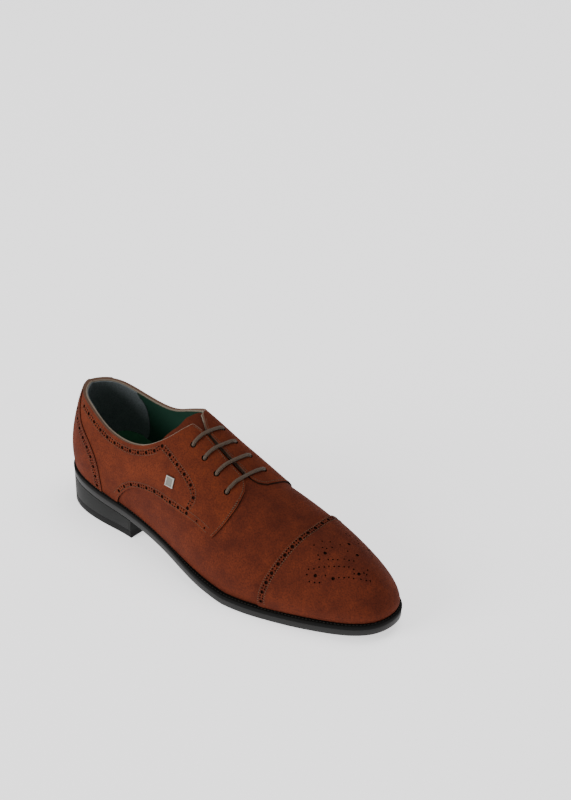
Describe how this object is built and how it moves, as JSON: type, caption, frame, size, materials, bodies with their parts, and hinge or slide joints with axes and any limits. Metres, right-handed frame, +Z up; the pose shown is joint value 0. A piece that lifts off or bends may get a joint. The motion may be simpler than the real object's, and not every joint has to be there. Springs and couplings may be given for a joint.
{
  "type": "brogue shoe",
  "caption": "Cap toe derby brogue in brown suede with perforated seams, laced facings, a slim welted sole and a stacked heel.",
  "frame": {"origin": "on the floor under the middle of the shoe's box", "axes": "+X runs from the heel to the toe, +Y to the medial side, +Z up from the floor"},
  "size_m": [0.301, 0.0998, 0.1049],
  "materials": {
    "suede": "brushed nap, matte",
    "tongue_suede": "brushed nap, matte, a little darker",
    "sock": "smooth dark green lining leather, low sheen",
    "welt": "dyed and waxed edge, low sheen",
    "sole": "dyed and waxed edge, low sheen",
    "heel": "dyed stacked leather, low sheen",
    "rubber": "matte",
    "lace": "round waxed cotton cord",
    "plate": "satin, bare"
  },
  "bodies": {
    "root": {"upper": "suede", "quarter_lateral": "suede", "quarter_medial": "suede", "toe_cap": "suede", "heel_counter": "suede", "tongue": "tongue_suede", "insole": "sock", "welt": "welt", "outsole": "sole", "heel_block": "heel", "heel_top_lift": "rubber", "lace_bar_1": "lace", "lace_bar_2": "lace", "lace_bar_3": "lace", "lace_bar_4": "lace", "blank_plate": "plate"}
  },
  "joints": []
}
